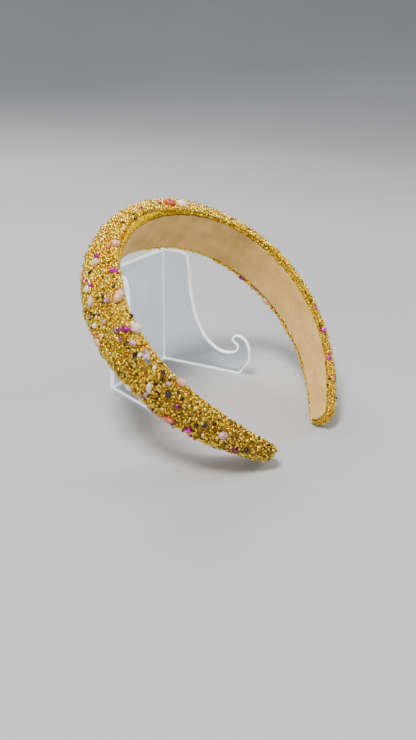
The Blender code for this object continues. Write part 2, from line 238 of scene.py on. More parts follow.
# %% [markdown]
# ## Meshes from grids
#
# Most pieces here are closed skins: rows of points along the piece, and each row a ring round
# it. One helper turns such a grid into a mesh. The rings at both ends shrink to a point, so the
# helper merges them, which closes the poles, and then turns all faces outwards.

# %% Helpers for meshes
POLE_MERGE = 2e-6
THINNEST_EDGE = 1e-7
WAVE_COUNT = 6
WAVE_SPREAD = (0.6, 1.7)


def read_vectors(items, field):
    """One vector from each point or face of a mesh, such as its place or its normal."""
    values = np.zeros(len(items) * 3, np.float32)
    items.foreach_get(field, values)
    return values.reshape(-1, 3)


def mesh_of(name, points, corners, counts):
    """A mesh from points, a flat list of face corners and the number of corners of each face."""
    mesh = bpy.data.meshes.new(name)
    mesh.vertices.add(len(points))
    mesh.vertices.foreach_set("co", np.ascontiguousarray(points, dtype=np.float32).ravel())
    mesh.loops.add(len(corners))
    mesh.loops.foreach_set("vertex_index", np.asarray(corners, dtype=np.int32))
    starts = np.concatenate([[0], np.cumsum(counts)[:-1]]).astype(np.int32)
    mesh.polygons.add(len(counts))
    mesh.polygons.foreach_set("loop_start", starts)
    mesh.polygons.foreach_set("loop_total", np.asarray(counts, dtype=np.int32))
    mesh.update(calc_edges=True)
    mesh.validate()
    return mesh


def ring_quads(rows, columns):
    """Quads between neighbouring rings of a grid whose last column meets its first."""
    index = np.arange(rows * columns).reshape(rows, columns)
    beside = np.roll(index, -1, axis=1)
    return np.stack([index[:-1], beside[:-1], beside[1:], index[1:]], axis=-1).reshape(-1, 4)


print("quads between two rings of 8:", len(ring_quads(2, 8)))


# %% Closed skins
def grid_mesh(name, grid, step=1):
    """A mesh from rings of points. With a step of -1 the corners of its faces run backwards."""
    quads = ring_quads(*grid.shape[:2])[:, ::step]
    return mesh_of(name, grid.reshape(-1, 3), quads.ravel(), np.full(len(quads), 4))


def clean(mesh, merge=0.0, thin=0.0):
    """Merge near points, drop the thinnest edges and turn all faces outwards."""
    work = bmesh.new()
    work.from_mesh(mesh)
    if merge:
        bmesh.ops.remove_doubles(work, verts=work.verts, dist=merge)
    if thin:
        bmesh.ops.dissolve_degenerate(work, edges=work.edges, dist=thin)
    bmesh.ops.recalc_face_normals(work, faces=work.faces)
    work.to_mesh(mesh)
    work.free()


def open_edges(mesh):
    """How many edges don't have exactly two faces. A closed skin has none."""
    edge_of_corner = np.zeros(len(mesh.loops), np.int32)
    mesh.loops.foreach_get("edge_index", edge_of_corner)
    return int((np.bincount(edge_of_corner, minlength=len(mesh.edges)) != 2).sum())


def closed_skin(name, grid):
    """A smooth closed mesh from rings of points, with its poles merged and faces outwards."""
    mesh = grid_mesh(name, grid)
    clean(mesh, POLE_MERGE, THINNEST_EDGE)
    mesh.shade_smooth()
    return mesh


def add_piece(name, mesh, material, slot, *nodes):
    """Put a finished mesh into the scene with its material, and hide the solids that it stands for.
    """
    mesh.materials.clear()
    mesh.materials.append(material)
    piece = add_object(name, mesh)
    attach(piece, "root")
    if nodes:
        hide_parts(*nodes)
    return piece


def waves(along, length, rng):
    """Uneven waves: sines of near lengths and random starts added up, from about -1 to 1."""
    lengths = length * rng.uniform(*WAVE_SPREAD, WAVE_COUNT)
    starts = rng.uniform(0.0, 2 * math.pi, WAVE_COUNT)
    total = sum(np.sin(2 * math.pi * along / l + start) for l, start in zip(lengths, starts))
    return total / math.sqrt(WAVE_COUNT)


print("sines in a wave:", WAVE_COUNT)

# %% [markdown]
# ## Finishes as node trees
#
# Every finish starts from one shader. A pattern is laid over it in object space, which is the
# room's own metres here, because every piece keeps its place in its mesh. A few colours mixed
# by noise give depth to a surface, and noise in the roughness breaks up the shine of the gold.

# %% Helpers for finishes
def set_sockets(node, values):
    """Set plain values on a node's own sockets, whose names have _ in place of a space here."""
    for socket, value in values.items():
        node.inputs[socket.replace("_", " ")].default_value = value


def shader_node(material):
    return material.node_tree.nodes["Principled BSDF"]


def shader(name, roughness, metallic=0.0, **sockets):
    """A new material with plain values on its shader."""
    material = bpy.data.materials.new(name)
    material.use_nodes = True
    set_sockets(shader_node(material), {"Roughness": roughness, "Metallic": metallic, **sockets})
    return material


def add_node(material, kind, **sockets):
    node = material.node_tree.nodes.new("ShaderNode" + kind)
    set_sockets(node, sockets)
    return node


def connect(material, *pairs):
    for output, socket in pairs:
        material.node_tree.links.new(output, socket)


def noise(material, scale, detail):
    """Noise in object space, where scale is the number of blotches in a metre."""
    texture = add_node(material, "TexNoise", Scale=scale, Detail=detail)
    place = add_node(material, "TexCoord")
    connect(material, (place.outputs["Object"], texture.inputs["Vector"]))
    return texture.outputs["Fac"]


def times_attribute(material, share, attribute):
    """A value multiplied by a number that each point of the mesh carries."""
    carried = add_node(material, "Attribute")
    carried.attribute_name = attribute
    product = add_node(material, "Math")
    product.operation = "MULTIPLY"
    connect(material, (share, product.inputs[0]), (carried.outputs["Fac"], product.inputs[1]))
    return product.outputs["Value"]


print("shader, nodes and links ready")


# %% Helpers that drive the shader
def blend_colours(material, share, stops):
    """Colour the shader by a value from 0 to 1 through a few colour stops."""
    ramp = add_node(material, "ValToRGB")
    band = ramp.color_ramp
    while len(band.elements) < len(stops):
        band.elements.new(0.5)
    for element, (place, colour) in zip(band.elements, stops):
        element.position = place
        element.color = (*colour, 1.0)
    to_colour = shader_node(material).inputs["Base Color"]
    connect(material, (share, ramp.inputs["Fac"]), (ramp.outputs["Color"], to_colour))


def vary_roughness(material, share, low, high):
    """Spread a value from 0 to 1 over a range of roughness."""
    spread = add_node(material, "MapRange", To_Min=low, To_Max=high)
    to_roughness = shader_node(material).inputs["Roughness"]
    connect(material, (share, spread.inputs["Value"]), (spread.outputs["Result"], to_roughness))


def raise_bumps(material, height, distance, strength=1.0):
    """Relief from a height value; distance is how high it stands, in metres."""
    bump = add_node(material, "Bump", Distance=distance, Strength=strength)
    to_normal = shader_node(material).inputs["Normal"]
    connect(material, (height, bump.inputs["Height"]), (bump.outputs["Normal"], to_normal))


print("finish helpers ready")

# %% [markdown]
# ## Where the crust stops
#
# The crust isn't glued evenly up to the lining. On the left of the crown it stops short of the
# pad's upper edge and leaves a strip of cloth bare. Along the arms it goes over the edge and
# nearly reaches the lining. Two short tables hold that, and the bed, the chips and the cloth
# all read them.

# %% Limits of the crust
BARE_ALONG = (-0.060, -0.050, -0.040, -0.030, -0.020, -0.010, 0.000)
BARE_WIDTH = (0.0, 0.0014, 0.0022, 0.0034, 0.0037, 0.0018, 0.0)
COVER_ALONG = (-0.072, -0.060, 0.002, 0.014, 0.030, 0.042)
COVER_SHARE = (0.95, 0.0, 0.0, 0.55, 0.75, 0.95)
LOWER_COVER = 0.9
BARE_LIFT = 0.0009
BARE_LIFT_FULL = 0.001


def bare_width(along):
    """How wide the bare strip is that goes from the upper edge up the pad's side."""
    return np.interp(along, BARE_ALONG, BARE_WIDTH)


def bare_angle(along, grow):
    """The angle round the band at which the crust begins.

    Near the edge the side is almost straight, so its length is height * angle ** 0.85, and
    that is turned round to get the angle.
    """
    height = size("thickness", along) - LAYERS + grow
    return (bare_width(along) / height) ** (1 / SHOULDER_POWER)


def covered_share(along, edge):
    """The share of the margin beside the lining that chips cover, on the upper or lower edge."""
    return np.where(edge > 0, np.interp(along, COVER_ALONG, COVER_SHARE), LOWER_COVER)


print("bare strip at most", max(BARE_WIDTH) * 1000, "mm wide")

# %% [markdown]
# ## Cover cloth
#
# The pad is wrapped in coarse mustard cloth. Little of it shows: the bare strip at the crown,
# and a line between crust and lining, where the cloth swells a little and is gathered into fine
# pleats as it goes under the lining. A stuffed form whose face swells and ripples gives that,
# and the weave is relief in the finish. Its colour follows that relief: it is darker where the
# weave is low, which is painted shade in its hollows.

# %% Cover cloth of the pad
CLOTH_SECTIONS = 760
DOME_SPANS = 60
FACE_SPANS = 64
CLOTH_SWELL = 0.0011
CLOTH_SWELL_MARGIN = 0.0030
CLOTH_SEED = 21
PLEAT_LENGTH = 0.0019
PLEAT_HEIGHT = 0.00016
PLEAT_POWER = 0.6
LIFT_FADE = 0.25
SMALLEST_ANGLE = 1e-4
NARROWEST_MARGIN = 1e-5


def even_tips(tip, count):
    """Distances along the band that crowd towards both tips: tip times the sine of even steps."""
    return tip * np.sin(np.linspace(-math.pi / 2, math.pi / 2, count))


def bare_lift(along):
    """How far the cloth stands out where it is bare, so that it is nearly level with the crust."""
    return BARE_LIFT * np.clip(bare_width(along) / BARE_LIFT_FULL, 0.0, 1.0)


def side_of_cloth(along, angle):
    """The outer side of the cloth. It is lifted up to the angle where the crust begins."""
    begins = np.maximum(bare_angle(along, BARE_LIFT), SMALLEST_ANGLE)
    lifted = np.clip((1.0 - angle / begins) / LIFT_FADE, 0.0, 1.0)
    return dome(along, angle, bare_lift(along) * lifted)


def face_of_cloth(along, share):
    """The cloth on the side of the head. share goes from the upper edge, 1, to the lower, -1.

    Between the lining and the edge the cloth swells towards the head by a sine of its place in
    that margin, and pleats ripple it most where it meets the lining.
    """
    rng = np.random.default_rng(CLOTH_SEED)
    half = pad_half_width(along, np.where(share > 0, bare_lift(along), 0.0))
    side = half * share
    lining = lining_edge(along, share)
    margin = np.maximum(half - lining, NARROWEST_MARGIN)
    place = np.clip((np.abs(side) - lining) / margin, 0.0, 1.0)
    swell = CLOTH_SWELL * np.clip(margin / CLOTH_SWELL_MARGIN, 0.0, 1.0)
    upper = waves(along, PLEAT_LENGTH, rng)
    lower = waves(along, PLEAT_LENGTH, rng)
    pleats = PLEAT_HEIGHT * np.where(share > 0, upper, lower)
    pleats = pleats * np.sin(math.pi * place ** PLEAT_POWER)
    ends = rounded_end(along, PAD_TIP, TIP_HEIGHT_RUN, TIP_HEIGHT_POWER)
    return on_band(along, PAD_FACE - (swell * np.sin(math.pi * place) + pleats) * ends, side)


cloth_along = even_tips(PAD_TIP, CLOTH_SECTIONS)[:, None]
cloth_angle = math.pi * np.linspace(0.0, 1.0, DOME_SPANS + 1) ** 2
cloth_grid = np.concatenate([
    side_of_cloth(cloth_along, cloth_angle),
    face_of_cloth(cloth_along, np.linspace(-1.0, 1.0, FACE_SPANS + 1)[1:-1]),
], axis=1)
print("points of the cloth:", cloth_grid.shape[:2])

# %% Finish of the cloth
cloth = shader("cover_cloth", roughness=0.85, Specular_IOR_Level=0.05)
cloth_weave_and_shade = noise(cloth, scale=1300.0, detail=1.0)
# The weave's colour follows its relief: darker where it is low, painted shade in its hollows.
blend_colours(cloth, cloth_weave_and_shade, [
    (0.40, (0.26, 0.135, 0.001)),
    (0.50, (0.76, 0.44, 0.001)),
    (0.61, (1.00, 0.67, 0.003)),
])
raise_bumps(cloth, cloth_weave_and_shade, distance=0.0009)
cloth_mesh = closed_skin("cover_cloth", cloth_grid)
padded_cloth = add_piece("cover_cloth", cloth_mesh, cloth, "cover_cloth", "padded_band")
print("cover cloth:", len(cloth_mesh.polygons), "faces, open edges:", open_edges(cloth_mesh))

# %% [markdown]
# ## Suede lining
#
# A smooth strip follows the head. It is soft suede over a firm core, so it lies flat with
# rounded edges, waves by a tenth of a millimetre, and has one soft crease near the crown. Its
# colour is cloudy: partly the suede's own uneven tone, and partly painted sheen, lighter and
# darker where the nap leans different ways.

# %% Suede lining
LINING_SEED = 8
LINING_SECTIONS = 620
LINING_FACE_SPANS = 22
LINING_TIP = PAD_TIP + 0.0002
LINING_ROUND = 0.00042
ROUND_POINTS = 5
LINING_WAVE = 0.00012
LONG_WAVE, LONG_LEAN = 0.021, 0.3
SHORT_WAVE, SHORT_LEAN, SHORT_SHARE = 0.009, 2, 0.6
CREASE_LEAN = 0.1
CREASE_PLACE, CREASE_RUN, CREASE_DEPTH = 0.0060, 0.0016, 0.00022
EDGE_WAVER, UPPER_WAVER_LENGTH, LOWER_WAVER_LENGTH = 0.00014, 0.007, 0.006
FACE_SHARE, WALL_SHARE = 0.04, 0.92


def lining_ring(share_count):
    """A flat ring with round edges: shares of the half width, and depths as shares of the wall.

    The face on the head side goes from -1 to 1, a half circle goes round each edge, and two
    points close the back.
    """
    face = np.linspace(-1.0, 1.0, share_count + 1)
    turn = np.linspace(0.0, math.pi, ROUND_POINTS + 2)[1:-1]
    upper, lower = np.full(ROUND_POINTS, 1.0), np.full(ROUND_POINTS, -1.0)
    share = np.concatenate([face, upper, [1.0, -1.0], lower])
    bulge = np.concatenate([np.zeros(len(face)), np.sin(turn), [0.0, 0.0], np.sin(turn)])
    depth = np.concatenate([
        np.zeros(len(face)), (1 - np.cos(turn)) / 2, [1.0, 1.0], (1 + np.cos(turn)) / 2,
    ])
    return share, bulge, depth


lining_rng = np.random.default_rng(LINING_SEED)
lining_along = even_tips(LINING_TIP, LINING_SECTIONS)[:, None]
share, bulge, depth = lining_ring(LINING_FACE_SPANS)
ends = rounded_end(lining_along, LINING_TIP, TIP_WIDTH_RUN, TIP_WIDTH_POWER)
half = lining_edge(lining_along, share, LINING_TIP)
upper_waver = waves(lining_along, UPPER_WAVER_LENGTH, lining_rng)
lower_waver = waves(lining_along, LOWER_WAVER_LENGTH, lining_rng)
waver = EDGE_WAVER * np.where(share > 0, upper_waver, lower_waver)
flat_side = share * np.maximum(half - LINING_ROUND + waver * ends, 0.0)
side = flat_side + np.sign(share) * bulge * LINING_ROUND * ends
crease_line = (lining_along - CREASE_PLACE - CREASE_LEAN * side) / CREASE_RUN
crease = CREASE_DEPTH * np.exp(-crease_line ** 2) * np.clip(2 * share - 1, 0, 1)
long_waves = waves(lining_along + LONG_LEAN * side, LONG_WAVE, lining_rng)
short_waves = waves(side * SHORT_LEAN + lining_along, SHORT_WAVE, lining_rng)
lift = (LINING_WAVE * (long_waves + SHORT_SHARE * short_waves) + crease) * (1 - depth) * ends
lining_depth = LINING_FACE + LINING_WALL * (FACE_SHARE + WALL_SHARE * depth) + lift
lining_grid = on_band(lining_along, lining_depth, side)
print("points of the lining:", lining_grid.shape[:2])

# %% Finish of the lining
suede = shader(
    "lining_suede", roughness=0.9, Specular_IOR_Level=0.1,
    Sheen_Weight=0.12, Sheen_Roughness=0.5, Sheen_Tint=(1.0, 0.85, 0.60, 1.0),
)
# Cloudy colour: the suede's own uneven tone, and painted sheen where the nap leans.
blend_colours(suede, noise(suede, scale=110.0, detail=8.0), [
    (0.25, (0.66, 0.405, 0.126)),
    (0.50, (0.82, 0.525, 0.174)),
    (0.75, (0.97, 0.635, 0.222)),
])
raise_bumps(suede, noise(suede, scale=2600.0, detail=2.0), distance=0.00006, strength=0.6)
lining_mesh = closed_skin("suede_lining", lining_grid)
add_piece("suede_lining", lining_mesh, suede, "lining_suede", "inner_lining")
print("lining:", len(lining_mesh.polygons), "faces, open edges:", open_edges(lining_mesh))

# %% [markdown]
# ## The bed of the crust
#
# The crushed crystal is glued on. Between the chips one sees down to a bed of glue and fine
# crystal dust. Its colour is darker than the chips: painted shade, because little light gets
# there. Low on the left arm it is painted darker and browner still: painted shade, as where that
# arm turns away from the light. The bed is a thin shell round the pad, rough all over, and each
# of its points carries a number for that painted shade. The roughness fades out over the last
# 2 mm, so that the rings still shrink to one point and the shell is closed at both tips.

# %% Bed of the crust
BED_SEED = 3
BED_SECTIONS = 520
BED_SPANS = 44
BED_INNER_SPANS = 12
BED_DEPTH = 0.0009
BED_ROUGHNESS = 0.00014
BED_CALM_RUN = 0.002
BED_SHADE, BED_SHADE_TOP, BED_SHADE_RUN = 0.27, 0.070, 0.040

bed_rng = np.random.default_rng(BED_SEED)
bed_outer_along = even_tips(PAD_TIP + BED_DEPTH, BED_SECTIONS)[:, None]
bed_inner_along = even_tips(PAD_TIP + PIECE_GAP, BED_SECTIONS)[:, None]
bed_start = bare_angle(bed_outer_along, BED_DEPTH)
bed_reach = math.pi - bed_start
bed_angle = bed_start + bed_reach * np.linspace(0.0, 1.0, BED_SPANS + 1)
bed_inner_angle = bed_start + bed_reach * np.linspace(1.0, 0.0, BED_INNER_SPANS + 1)
bed_rise = bed_rng.uniform(-BED_ROUGHNESS, BED_ROUGHNESS, (BED_SECTIONS, BED_SPANS + 1))
bed_from_tip = PAD_TIP + BED_DEPTH - np.abs(bed_outer_along)
bed_rise = bed_rise * np.clip(bed_from_tip / BED_CALM_RUN, 0.0, 1.0)
bed_grid = np.concatenate([
    dome(bed_outer_along, bed_angle, BED_DEPTH + bed_rise),
    dome(bed_inner_along, bed_inner_angle, PIECE_GAP),
], axis=1)
print("points of the bed:", bed_grid.shape[:2])

# %% Painted shade and finish of the bed
bed_mesh = closed_skin("crystal_bed", bed_grid)
bed_points = read_vectors(bed_mesh.vertices, "co")
# Lower on the left arm, the bed's colour is painted darker: painted shade.
bed_low = np.clip((BED_SHADE_TOP - bed_points[:, 2]) / BED_SHADE_RUN, 0.0, 1.0)
bed_painted_light = np.where(bed_points[:, 0] < 0, 1.0 - BED_SHADE * bed_low, 1.0)
bed_values = bed_mesh.attributes.new("light", "FLOAT", "POINT").data
bed_values.foreach_set("value", bed_painted_light.astype(np.float32))

bed = shader("crystal_bed", roughness=0.45, metallic=0.2)
bed_noise = times_attribute(bed, noise(bed, scale=1500.0, detail=2.0), "light")
blend_colours(bed, bed_noise, [
    (0.22, (0.11, 0.050, 0.006)),
    (0.36, (0.34, 0.18, 0.012)),
    (0.52, (0.70, 0.43, 0.025)),
    (0.70, (0.95, 0.68, 0.10)),
])
raise_bumps(bed, noise(bed, scale=2400.0, detail=2.0), distance=0.0003)
add_piece("crystal_bed", bed_mesh, bed, "gold_crystal", "crystal_crust")
print("bed:", len(bed_mesh.polygons), "faces, open edges:", open_edges(bed_mesh))

# %% [markdown]
# ## Where the cut stones sit
#
# Each large stone is a solid of its own in the model. Its largest flat face is the one that
# lies on the crust, so the stone's seat can be read from that: the way out is opposite to it,
# and the stone's length and width are the spread of its corners in that plane.

# %% Seats of the cut stones
SAME_FACING = 0.9995


def seat_of(node):
    """Centre, lengthwise, widthwise and outward directions, and length and width of a stone."""
    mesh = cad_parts[node].data
    points = read_vectors(mesh.vertices, "co").astype(float)
    mesh.calc_loop_triangles()
    corners = np.zeros(len(mesh.loop_triangles) * 3, np.int32)
    mesh.loop_triangles.foreach_get("vertices", corners)
    triangle = points[corners].reshape(-1, 3, 3)
    across = np.cross(triangle[:, 1] - triangle[:, 0], triangle[:, 2] - triangle[:, 0])
    area = np.linalg.norm(across, axis=1)
    facing = across / area[:, None]
    alike = facing @ facing.T > SAME_FACING
    base = alike[np.argmax(alike @ area)]
    out = -facing[base][0]
    rim = np.unique(triangle[base].reshape(-1, 3).round(6), axis=0)
    centre = rim.mean(axis=0)
    ahead = np.linalg.eigh(np.cov((rim - centre).T))[1][:, 2]
    beside = np.cross(out, ahead)
    length = np.ptp((rim - centre) @ ahead)
    width = np.ptp((rim - centre) @ beside)
    return centre, ahead, beside, out, length, width


stone_nodes = sorted((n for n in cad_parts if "_stone_" in n), key=lambda n: n[-2:])
seats = {node: seat_of(node) for node in stone_nodes}
longest = max(seat[4] for seat in seats.values())
print("stones:", len(seats), "longest:", round(longest * 1000, 1), "mm")

# %% [markdown]
# ## Crushed crystal
#
# The crust is thousands of glass splinters, most of them about two millimetres long. They are
# not placed by hand and not in rows: the crust is divided into even cells, and each cell gets
# one splinter that is moved, turned, tilted and sized at random. Random numbers with a fixed
# seed give the same crust each time. All splinters of a tone are worked out as one array.

# %% Cells over the crust
CHIP_SEED = 17
CHIP_PITCH = 0.00138
CHIP_GROW = 0.0010
CHIP_WANDER = 0.42
CHIP_SINK = (-0.00030, 0.00025)
CRUST_WOBBLE = (-0.0006, 0.0005)
PROBE, ANGLE_PROBE = 0.00005, 0.004
NEAREST_EDGE_ANGLE = 0.02
ARC_PROBES = 6001
SECTION_PROBES = 96
SHORTEST_SPAN, SHORTEST_VECTOR = 1e-9, 1e-12


def running_length(points):
    """The length from the first point of each line of points to each of its points."""
    steps = np.linalg.norm(np.diff(points, axis=-2), axis=-1)
    return np.concatenate([np.zeros_like(steps[..., :1]), np.cumsum(steps, axis=-1)], axis=-1)


def even_cells(pitch, grow, rng):
    """Distance along, angle round and distance from the upper edge of each cell, moved a little.

    Rows are even steps of the arc along the ridge. In each row, cells are even steps of the
    arc from edge to edge, found by looking up the running length of the section.
    """
    fine = even_tips(PAD_TIP + grow, ARC_PROBES)
    arc = running_length(dome(fine, math.pi / 2, grow))
    rows = np.interp(np.arange(pitch / 2, arc[-1], pitch), arc, fine)
    angle = np.linspace(0.0, math.pi, SECTION_PROBES)
    running = running_length(dome(rows[:, None], angle, grow))
    counts = np.maximum(np.round(running[:, -1] / pitch).astype(int), 1)
    row = np.repeat(np.arange(len(rows)), counts)
    place = np.arange(len(row)) - np.repeat(np.cumsum(counts) - counts, counts)
    place = (place + 0.5 + rng.uniform(-CHIP_WANDER, CHIP_WANDER, len(row))) / counts[row]
    target = place * running[row, -1]
    below = np.clip((running[row] < target[:, None]).sum(axis=1) - 1, 0, SECTION_PROBES - 2)
    span = running[row, below + 1] - running[row, below]
    share = (target - running[row, below]) / np.maximum(span, SHORTEST_SPAN)
    along = rows[row] + rng.uniform(-CHIP_WANDER, CHIP_WANDER, len(row)) * np.gradient(rows)[row]
    return along, angle[below] + share * (angle[1] - angle[0]), target


print("cells are", CHIP_PITCH * 1000, "mm apart")


# %% Frames of the cells
def unit(vectors):
    """Directions with a length of 1."""
    return vectors / np.maximum(np.linalg.norm(vectors, axis=-1, keepdims=True), SHORTEST_VECTOR)


def dome_frame(along, angle, grow):
    """Place on the crust, and the directions along it, round it and straight out of it."""
    angle = np.clip(angle, NEAREST_EDGE_ANGLE, math.pi - NEAREST_EDGE_ANGLE)
    place = dome(along, angle, grow)
    ahead = unit(dome(along + PROBE, angle, grow) - dome(along - PROBE, angle, grow))
    beside = dome(along, angle + ANGLE_PROBE, grow) - dome(along, angle - ANGLE_PROBE, grow)
    out = unit(np.cross(ahead, beside))
    return place, ahead, np.cross(out, ahead), out


chip_rng = np.random.default_rng(CHIP_SEED)
cell_along, cell_angle, cell_edge = even_cells(CHIP_PITCH, CHIP_GROW, chip_rng)
wobble = chip_rng.uniform(*CRUST_WOBBLE, len(cell_along))
crusted = cell_edge + wobble > bare_width(cell_along)
cell_along, cell_angle = cell_along[crusted], cell_angle[crusted]
cell_grow = CHIP_GROW + chip_rng.uniform(*CHIP_SINK, len(cell_along))
cell_frames = dome_frame(cell_along, cell_angle, cell_grow)
print("cells over the crust:", len(cell_along))

# %% [markdown]
# Rows of chips also follow both edges and go some way over the margin beside the lining. The
# rows further in lie closer to the head and face it. On the lower edge of the right arm, the
# chips stand out a little further.

# %% Chips round both edges
EDGE_PITCH = 0.00112
EDGE_ROWS = 4
EDGE_GROW = 0.00105
EDGE_DEPTHS = (0.0001, 0.0007)
MARGIN_DEPTHS = (-0.0007, -0.0002)
EDGE_TURN, EDGE_LEAN = 0.0015, 0.5
EDGE_STOP = 0.0015
EDGE_WANDER, ROW_WANDER = 0.4, 0.35
RIGHT_RIM = 0.0005

edge_tip = PAD_TIP + EDGE_GROW - EDGE_STOP
edge_line = np.arange(-edge_tip, edge_tip, EDGE_PITCH)
edge_row, edge_side, edge_along = (
    grid.ravel()
    for grid in np.meshgrid(np.arange(EDGE_ROWS), [1.0, -1.0], edge_line, indexing="ij")
)
edge_count = len(edge_along)
edge_along = edge_along + chip_rng.uniform(-EDGE_WANDER, EDGE_WANDER, edge_count) * EDGE_PITCH
edge_inwards = edge_row + chip_rng.uniform(-ROW_WANDER, ROW_WANDER, edge_count)
edge_inwards = edge_inwards.clip(0) * EDGE_PITCH
edge_reach = pad_half_width(edge_along, EDGE_GROW)
edge_reach = edge_reach + np.where((edge_side < 0) & (edge_along > 0), RIGHT_RIM, 0.0)
edge_margin = np.maximum(edge_reach - lining_edge(edge_along, edge_side), 0.0)
edge_share = covered_share(edge_along, edge_side)
edge_kept = (edge_inwards <= edge_share * edge_margin) & (edge_share > 0)
edge_row, edge_side, edge_along, edge_inwards, edge_reach = (
    values[edge_kept] for values in (edge_row, edge_side, edge_along, edge_inwards, edge_reach)
)


def edge_frame(along, edge, inwards, reach, depth):
    """Place on the edge of the crust or on the margin beside the lining, and its directions.

    The way out turns from sideways at the edge to straight towards the head further in.
    """
    place = on_band(along, depth, edge * (reach - inwards))
    ahead = unit(on_band(along + PROBE, depth, 0.0) - on_band(along - PROBE, depth, 0.0))
    outward = unit(on_band(along, depth + PROBE, 0.0) - on_band(along, depth - PROBE, 0.0))
    sideways = unit(on_band(along, depth, PROBE) - on_band(along, depth, -PROBE))
    turned = np.clip(inwards / EDGE_TURN, 0.0, 1.0)[:, None]
    out = unit((1 - turned) * edge[:, None] * sideways - (EDGE_LEAN + turned) * outward)
    return place, ahead, np.cross(out, ahead), out


edge_depth = PAD_FACE + np.where(
    edge_row == 0,
    chip_rng.uniform(*EDGE_DEPTHS, len(edge_row)),
    chip_rng.uniform(*MARGIN_DEPTHS, len(edge_row)),
)
edge_frames = edge_frame(edge_along, edge_side, edge_inwards, edge_reach, edge_depth)
chip_frames = [np.concatenate(pair) for pair in zip(cell_frames, edge_frames)]
chip_along = np.concatenate([cell_along, edge_along])
chip_edge = np.concatenate([np.zeros(len(cell_along)), edge_side])
print("chips with the edges:", len(chip_along))

# %% [markdown]
# A splinter is three rings of five corners: a small base in the glue, a wide middle and a
# narrow top, with every corner moved at random. Left unsmoothed, its facets catch the light
# one by one, which is what makes a crust like this sparkle.

# %% Shape of a splinter
RING_RISE = np.array([-0.45, 0.10, 0.72])
RING_REACH = np.array([0.62, 1.0, 0.66])
SPLINTER_CORNERS, SPLINTER_ROUGH, SPLINTER_TILT = 5, 0.28, 0.44
CORNER_WANDER = 0.22
RISE_WANDER = 0.6
FLOOR_CLEARANCE = 0.00005


def splinters(
    frames, sizes, rng, corners=SPLINTER_CORNERS, rough=SPLINTER_ROUGH, tilt=SPLINTER_TILT
):
    """Corners of many splinters at once, as an array of splinter, ring, corner and x, y, z.

    A corner is place + reach * (cos * ahead * length + sin * beside * width) / 2 + rise * height
    * out, in directions first turned about the way out and then tilted.
    """
    place, ahead, beside, out = frames
    length, width, height = (values[:, None, None] for values in sizes)
    count, rings = len(place), len(RING_RISE)
    spin = rng.uniform(0.0, 2 * math.pi, count)[:, None]
    first = np.cos(spin) * ahead + np.sin(spin) * beside
    second = np.cross(out, first)
    lean = rng.normal(0.0, tilt, (count, 2))
    up = unit(out + lean[:, :1] * first + lean[:, 1:] * second)
    first = unit(first - (first * up).sum(axis=1, keepdims=True) * up)
    second = np.cross(up, first)
    wander = rng.uniform(-CORNER_WANDER, CORNER_WANDER, (count, 1, corners))
    turn = 2 * math.pi * (np.arange(corners) + wander) / corners
    radius = RING_REACH[:, None] * (1 + rng.uniform(-rough, rough, (count, rings, corners)))
    jitter = rng.uniform(-rough, rough, (count, rings, corners))
    high = RING_RISE[:, None] + jitter * RISE_WANDER
    x = (radius * np.cos(turn) * length / 2)[..., None]
    y = (radius * np.sin(turn) * width / 2)[..., None]
    z = (high * height)[..., None]
    start, e1, e2, e3 = (v[:, None, None, :] for v in (place, first, second, up))
    points = start + x * e1 + y * e2 + z * e3
    points[..., 2] = np.maximum(points[..., 2], FLOOR_CLEARANCE)
    return points


def add_chips(name, points, material, slot):
    """One piece of many closed splinters: quads between the rings and a face on each end."""
    count, rings, corners = points.shape[:3]
    quads = ring_quads(rings, corners)
    base = np.arange(corners)[::-1]
    top = np.arange(corners) + (rings - 1) * corners
    starts = (np.arange(count) * rings * corners)[:, None]
    sides = quads.ravel() + starts
    ends = np.concatenate([base, top]) + starts
    loops = np.concatenate([sides, ends], axis=1).ravel()
    counts = np.tile(np.concatenate([np.full(len(quads), 4), [corners, corners]]), count)
    name = name + "_chips"
    return add_piece(name, mesh_of(name, points.reshape(-1, 3), loops, counts), material, slot)


print("a splinter has", len(RING_RISE) * SPLINTER_CORNERS, "corners")

# %% Stones keep their places clear
SEAT_DEPTH = 0.004


def clear_of(place, taken, margin=0.0):
    """Which points lie outside an ellipse as long and wide as each seat and a margin."""
    keep = np.ones(len(place), bool)
    for centre, ahead, beside, out, length, width in taken:
        offset = place - centre
        x, y, z = offset @ ahead, offset @ beside, offset @ out
        inside = (2 * x / (length + margin)) ** 2 + (2 * y / (width + margin)) ** 2 < 1.0
        keep &= ~(inside & (np.abs(z) < SEAT_DEPTH))
    return keep


stone_clear = clear_of(chip_frames[0], seats.values())
print("chips under stones:", int((~stone_clear).sum()))
